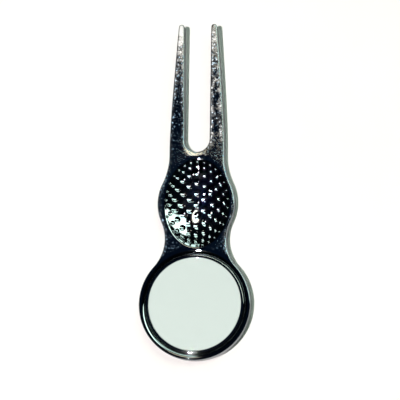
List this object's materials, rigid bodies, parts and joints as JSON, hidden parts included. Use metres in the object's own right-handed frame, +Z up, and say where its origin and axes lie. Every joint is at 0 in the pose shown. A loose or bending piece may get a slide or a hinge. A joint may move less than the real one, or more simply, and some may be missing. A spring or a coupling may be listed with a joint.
{
  "type": "divot repair tool",
  "caption": "Two-pronged divot repair tool, plated casting with dimpled thumb dish and a ring holding a lift-off round ball marker.",
  "frame": {"origin": "middle of the tool's length and width, on the surface it lies on", "axes": "+X is the width, +Y runs along the tool to the prong tips, +Z points up out of the marker's face"},
  "size_m": [0.0282, 0.0858, 0.0043],
  "materials": {
    "bright_plating": "bright plated zinc casting, lightly scuffed",
    "magnet_plating": "nickel-plated magnet",
    "coin_plating": "plated steel",
    "epoxy_glue": "cured epoxy",
    "adhesive_film": "thin adhesive film",
    "white_face": "satin, blank white"
  },
  "bodies": {
    "tool": {"tool_body": "bright_plating", "magnet_glue": "epoxy_glue", "magnet": "magnet_plating"},
    "marker": {"marker_coin": "coin_plating", "marker_film": "adhesive_film", "marker_face": "white_face"}
  },
  "joints": [
    {"name": "marker_lift", "type": "slide", "parent": "tool", "child": "marker", "axis": [0, 0, 1], "range_m": [0, 0.012]}
  ]
}
